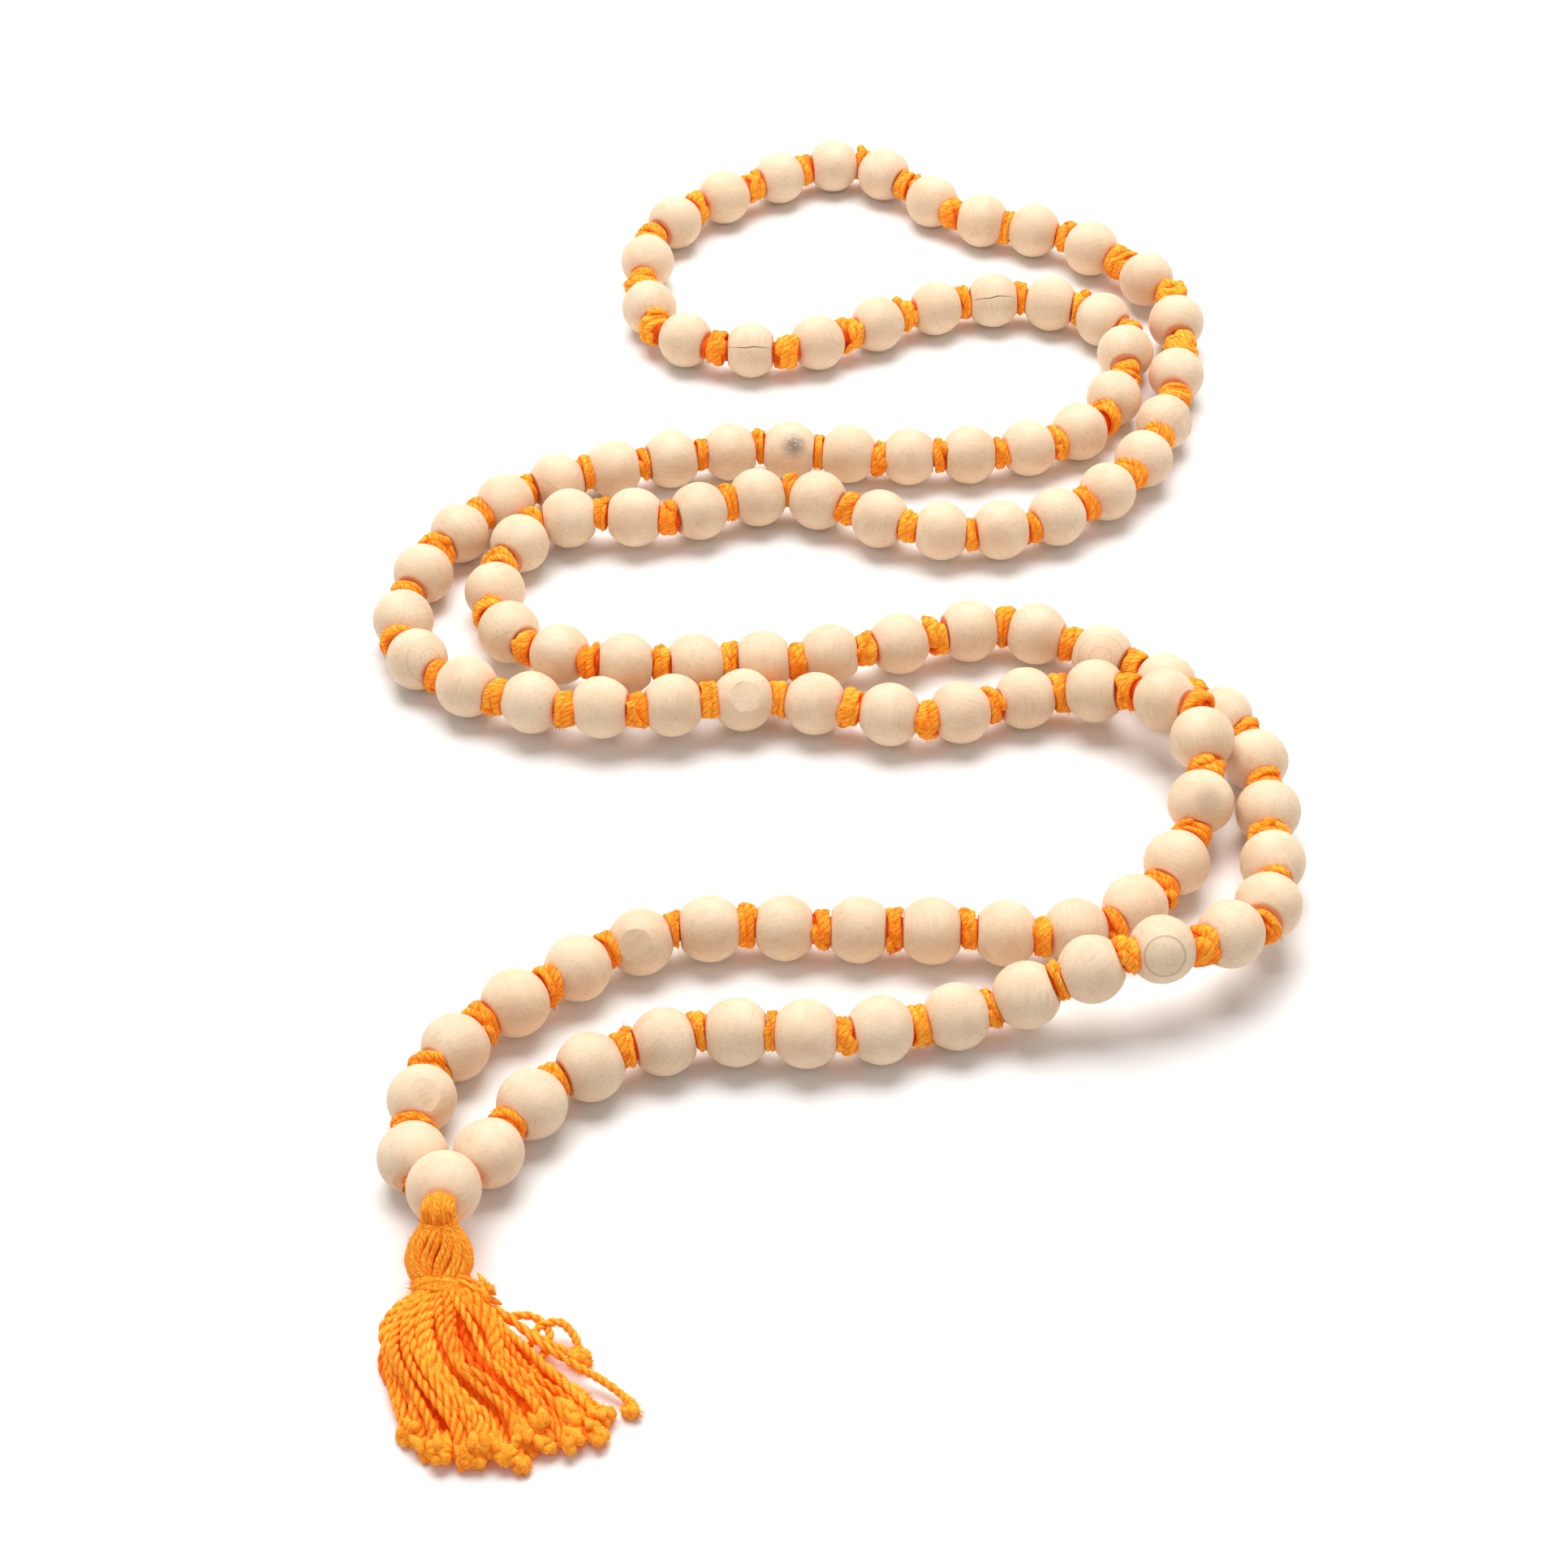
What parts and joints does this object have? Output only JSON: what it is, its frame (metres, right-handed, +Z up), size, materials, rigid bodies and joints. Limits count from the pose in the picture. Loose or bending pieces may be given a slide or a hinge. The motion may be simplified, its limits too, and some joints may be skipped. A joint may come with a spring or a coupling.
{
  "type": "mala prayer beads",
  "caption": "Knotted mala of round wooden beads on saffron yarn, with a guru bead and a yarn tassel, lying folded in a double S.",
  "frame": {"origin": "middle of the space the mala covers on the surface it lies on, at that surface", "axes": "+X across the folds of the S, +Y from the tassel to the far end of the loop, +Z up"},
  "size_m": [0.1431, 0.2888, 0.0166],
  "materials": {
    "wood": "unfinished, sanded, matt",
    "yarn": "plied spun yarn, fuzzy"
  },
  "bodies": {
    "stretch_1": {"knots_stretch_1": "yarn", "yarn_a_stretch_1": "yarn", "yarn_b_stretch_1": "yarn"},
    "guru_end": {"knots_guru_end": "yarn", "yarn_a_guru_end": "yarn", "yarn_b_guru_end": "yarn", "tassel_core": "yarn"},
    "stretch_2": {"beads_stretch_2": "wood", "knots_stretch_2": "yarn", "yarn_a_stretch_2": "yarn", "yarn_b_stretch_2": "yarn"},
    "stretch_3": {"beads_stretch_3": "wood", "knots_stretch_3": "yarn", "yarn_a_stretch_3": "yarn", "yarn_b_stretch_3": "yarn"},
    "stretch_4": {"beads_stretch_4": "wood", "knots_stretch_4": "yarn", "yarn_a_stretch_4": "yarn", "yarn_b_stretch_4": "yarn"},
    "far_loop": {"knots_far_loop": "yarn", "yarn_far_loop": "yarn"},
    "guru": {"guru_bead": "wood"},
    "tassel_neck": {"tassel_neck": "yarn"},
    "tassel": {"tassel_head": "yarn", "tassel_tie": "yarn", "tassel_skirt": "yarn"},
    "bead_001": {"bead_001": "wood"},
    "bead_002": {"bead_002": "wood"},
    "bead_003": {"bead_003": "wood"},
    "bead_004": {"bead_004": "wood"},
    "bead_005": {"bead_005": "wood"},
    "bead_006": {"bead_006": "wood"},
    "bead_007": {"bead_007": "wood"},
    "bead_008": {"bead_008": "wood"},
    "bead_009": {"bead_009": "wood"},
    "bead_010": {"bead_010": "wood"},
    "bead_011": {"bead_011": "wood"},
    "bead_012": {"bead_012": "wood"},
    "bead_013": {"bead_013": "wood"},
    "bead_014": {"bead_014": "wood"},
    "bead_054": {"bead_054": "wood"},
    "bead_055": {"bead_055": "wood"},
    "bead_056": {"bead_056": "wood"},
    "bead_057": {"bead_057": "wood"},
    "bead_058": {"bead_058": "wood"},
    "bead_059": {"bead_059": "wood"},
    "bead_095": {"bead_095": "wood"},
    "bead_096": {"bead_096": "wood"},
    "bead_097": {"bead_097": "wood"},
    "bead_098": {"bead_098": "wood"},
    "bead_099": {"bead_099": "wood"},
    "bead_100": {"bead_100": "wood"},
    "bead_101": {"bead_101": "wood"},
    "bead_102": {"bead_102": "wood"},
    "bead_103": {"bead_103": "wood"},
    "bead_104": {"bead_104": "wood"},
    "bead_105": {"bead_105": "wood"},
    "bead_106": {"bead_106": "wood"},
    "bead_107": {"bead_107": "wood"},
    "bead_108": {"bead_108": "wood"}
  },
  "joints": [
    {"name": "guru_end_fold", "type": "hinge", "parent": "stretch_1", "child": "guru_end", "pos_m": [-0.0395, -0.0665, 0.00495], "axis": [-0.6787, 0.7344, 0.0037], "range_deg": [0, 40]},
    {"name": "stretch_2_fold", "type": "hinge", "parent": "stretch_1", "child": "stretch_2", "pos_m": [0.0545, -0.0385, 0.00595], "axis": [0.9991, 0, -0.0434], "range_deg": [0, 45]},
    {"name": "stretch_3_fold", "type": "hinge", "parent": "stretch_2", "child": "stretch_3", "pos_m": [-0.06666, 0.01609, 0.00492], "axis": [0.9369, -0.3495, 0.0021], "range_deg": [0, 40]},
    {"name": "stretch_4_fold", "type": "hinge", "parent": "stretch_3", "child": "stretch_4", "pos_m": [0.05375, 0.07444, 0.00495], "axis": [0.8207, 0.5697, 0.0427], "range_deg": [0, 35]},
    {"name": "far_loop_fold", "type": "hinge", "parent": "stretch_4", "child": "far_loop", "pos_m": [-0.03181, 0.10109, 0.00495], "axis": [0.8415, 0.5403, 0], "range_deg": [0, 60]},
    {"name": "guru_spin", "type": "hinge", "parent": "guru_end", "child": "guru", "pos_m": [-0.0508, -0.1054, 0.00855], "axis": [0, -0.9063, 0.4226], "continuous": true},
    {"name": "tassel_swing", "type": "hinge", "parent": "guru_end", "child": "tassel_neck", "pos_m": [-0.0508, -0.11163, 0.01145], "axis": [0, 0, 1], "range_deg": [-30, 30]},
    {"name": "tassel_lift", "type": "hinge", "parent": "tassel_neck", "child": "tassel", "pos_m": [-0.0508, -0.11163, 0.01145], "axis": [-1, 0, 0], "range_deg": [0, 75]},
    {"name": "bead_001_spin", "type": "hinge", "parent": "guru_end", "child": "bead_001", "pos_m": [-0.05584, -0.09738, 0.00495], "axis": [-0.0669, 0.9978, 0], "continuous": true},
    {"name": "bead_002_spin", "type": "hinge", "parent": "guru_end", "child": "bead_002", "pos_m": [-0.05559, -0.08737, 0.00495], "axis": [0.1209, 0.9927, 0], "continuous": true},
    {"name": "bead_003_spin", "type": "hinge", "parent": "guru_end", "child": "bead_003", "pos_m": [-0.05166, -0.07819, 0.00495], "axis": [0.6128, 0.7903, 0], "continuous": true},
    {"name": "bead_004_spin", "type": "hinge", "parent": "guru_end", "child": "bead_004", "pos_m": [-0.04391, -0.07019, 0.00495], "axis": [0.7669, 0.6418, 0], "continuous": true},
    {"name": "bead_005_spin", "type": "hinge", "parent": "stretch_1", "child": "bead_005", "pos_m": [-0.03531, -0.06352, 0.00495], "axis": [0.8143, 0.5804, 0], "continuous": true},
    {"name": "bead_006_spin", "type": "hinge", "parent": "stretch_1", "child": "bead_006", "pos_m": [-0.02656, -0.05852, 0.00495], "axis": [0.9147, 0.4041, 0], "continuous": true},
    {"name": "bead_007_spin", "type": "hinge", "parent": "stretch_1", "child": "bead_007", "pos_m": [-0.01673, -0.05603, 0.00493], "axis": [0.9961, 0.0887, -0.003], "continuous": true},
    {"name": "bead_008_spin", "type": "hinge", "parent": "stretch_1", "child": "bead_008", "pos_m": [-0.00598, -0.05578, 0.00493], "axis": [0.9992, -0.0399, 0.0028], "continuous": true},
    {"name": "bead_009_spin", "type": "hinge", "parent": "stretch_1", "child": "bead_009", "pos_m": [0.00478, -0.05628, 0.00509], "axis": [0.9982, -0.0532, 0.0266], "continuous": true},
    {"name": "bead_010_spin", "type": "hinge", "parent": "stretch_1", "child": "bead_010", "pos_m": [0.01528, -0.05678, 0.00534], "axis": [0.9989, -0.0419, 0.0209], "continuous": true},
    {"name": "bead_011_spin", "type": "hinge", "parent": "stretch_1", "child": "bead_011", "pos_m": [0.02586, -0.05719, 0.00531], "axis": [0.999, -0.035, -0.0262], "continuous": true},
    {"name": "bead_012_spin", "type": "hinge", "parent": "stretch_1", "child": "bead_012", "pos_m": [0.03611, -0.05644, 0.00506], "axis": [0.9819, 0.1882, -0.022], "continuous": true},
    {"name": "bead_013_spin", "type": "hinge", "parent": "stretch_1", "child": "bead_013", "pos_m": [0.04495, -0.05187, 0.00501], "axis": [0.737, 0.6758, 0.0117], "continuous": true},
    {"name": "bead_014_spin", "type": "hinge", "parent": "stretch_1", "child": "bead_014", "pos_m": [0.0517, -0.04337, 0.00551], "axis": [0.4961, 0.8648, 0.0776], "continuous": true},
    {"name": "bead_054_spin", "type": "hinge", "parent": "far_loop", "child": "bead_054", "pos_m": [-0.03091, 0.10855, 0.00495], "axis": [0.1207, 0.9927, 0], "continuous": true},
    {"name": "bead_055_spin", "type": "hinge", "parent": "far_loop", "child": "bead_055", "pos_m": [-0.02619, 0.12077, 0.00495], "axis": [0.6247, 0.7809, 0], "continuous": true},
    {"name": "bead_056_spin", "type": "hinge", "parent": "far_loop", "child": "bead_056", "pos_m": [-0.01719, 0.12902, 0.00495], "axis": [0.8301, 0.5576, 0], "continuous": true},
    {"name": "bead_057_spin", "type": "hinge", "parent": "far_loop", "child": "bead_057", "pos_m": [-0.00686, 0.13556, 0.00495], "axis": [0.8591, 0.5118, 0], "continuous": true},
    {"name": "bead_058_spin", "type": "hinge", "parent": "far_loop", "child": "bead_058", "pos_m": [0.00339, 0.13956, 0.00495], "axis": [0.9836, 0.1805, 0], "continuous": true},
    {"name": "bead_059_spin", "type": "hinge", "parent": "far_loop", "child": "bead_059", "pos_m": [0.01292, 0.13658, 0.00495], "axis": [0.7481, -0.6635, 0], "continuous": true},
    {"name": "bead_095_spin", "type": "hinge", "parent": "stretch_1", "child": "bead_095", "pos_m": [0.06567, -0.04406, 0.00625], "axis": [-0.0583, -0.9882, 0.1416], "continuous": true},
    {"name": "bead_096_spin", "type": "hinge", "parent": "stretch_1", "child": "bead_096", "pos_m": [0.06367, -0.05431, 0.008], "axis": [-0.3299, -0.9251, 0.1881], "continuous": true},
    {"name": "bead_097_spin", "type": "hinge", "parent": "stretch_1", "child": "bead_097", "pos_m": [0.05731, -0.06166, 0.01003], "axis": [-0.8531, -0.4834, 0.1962], "continuous": true},
    {"name": "bead_098_spin", "type": "hinge", "parent": "stretch_1", "child": "bead_098", "pos_m": [0.04706, -0.06591, 0.01153], "axis": [-0.9588, -0.2747, 0.0727], "continuous": true},
    {"name": "bead_099_spin", "type": "hinge", "parent": "stretch_1", "child": "bead_099", "pos_m": [0.03703, -0.06847, 0.01028], "axis": [-0.9179, -0.199, -0.3434], "continuous": true},
    {"name": "bead_100_spin", "type": "hinge", "parent": "stretch_1", "child": "bead_100", "pos_m": [0.02803, -0.07022, 0.00678], "axis": [-0.9157, -0.1579, -0.3695], "continuous": true},
    {"name": "bead_101_spin", "type": "hinge", "parent": "stretch_1", "child": "bead_101", "pos_m": [0.01817, -0.07252, 0.00487], "axis": [-0.9617, -0.2736, -0.0141], "continuous": true},
    {"name": "bead_102_spin", "type": "hinge", "parent": "stretch_1", "child": "bead_102", "pos_m": [0.00742, -0.07527, 0.00512], "axis": [-0.9734, -0.2216, 0.0589], "continuous": true},
    {"name": "bead_103_spin", "type": "hinge", "parent": "stretch_1", "child": "bead_103", "pos_m": [-0.00292, -0.07614, 0.00534], "axis": [-0.9971, 0.0728, -0.0222], "continuous": true},
    {"name": "bead_104_spin", "type": "hinge", "parent": "stretch_1", "child": "bead_104", "pos_m": [-0.01267, -0.07564, 0.00509], "axis": [-0.9992, 0.0291, -0.0291], "continuous": true},
    {"name": "bead_105_spin", "type": "hinge", "parent": "stretch_1", "child": "bead_105", "pos_m": [-0.02278, -0.07719, 0.00492], "axis": [-0.9525, -0.3044, -0.0056], "continuous": true},
    {"name": "bead_106_spin", "type": "hinge", "parent": "guru_end", "child": "bead_106", "pos_m": [-0.03278, -0.08169, 0.00492], "axis": [-0.859, -0.512, 0.0057], "continuous": true},
    {"name": "bead_107_spin", "type": "hinge", "parent": "guru_end", "child": "bead_107", "pos_m": [-0.04042, -0.0885, 0.00506], "axis": [-0.5897, -0.8073, 0.0221], "continuous": true},
    {"name": "bead_108_spin", "type": "hinge", "parent": "guru_end", "child": "bead_108", "pos_m": [-0.04567, -0.097, 0.00531], "axis": [-0.4593, -0.8878, 0.0277], "continuous": true}
  ]
}
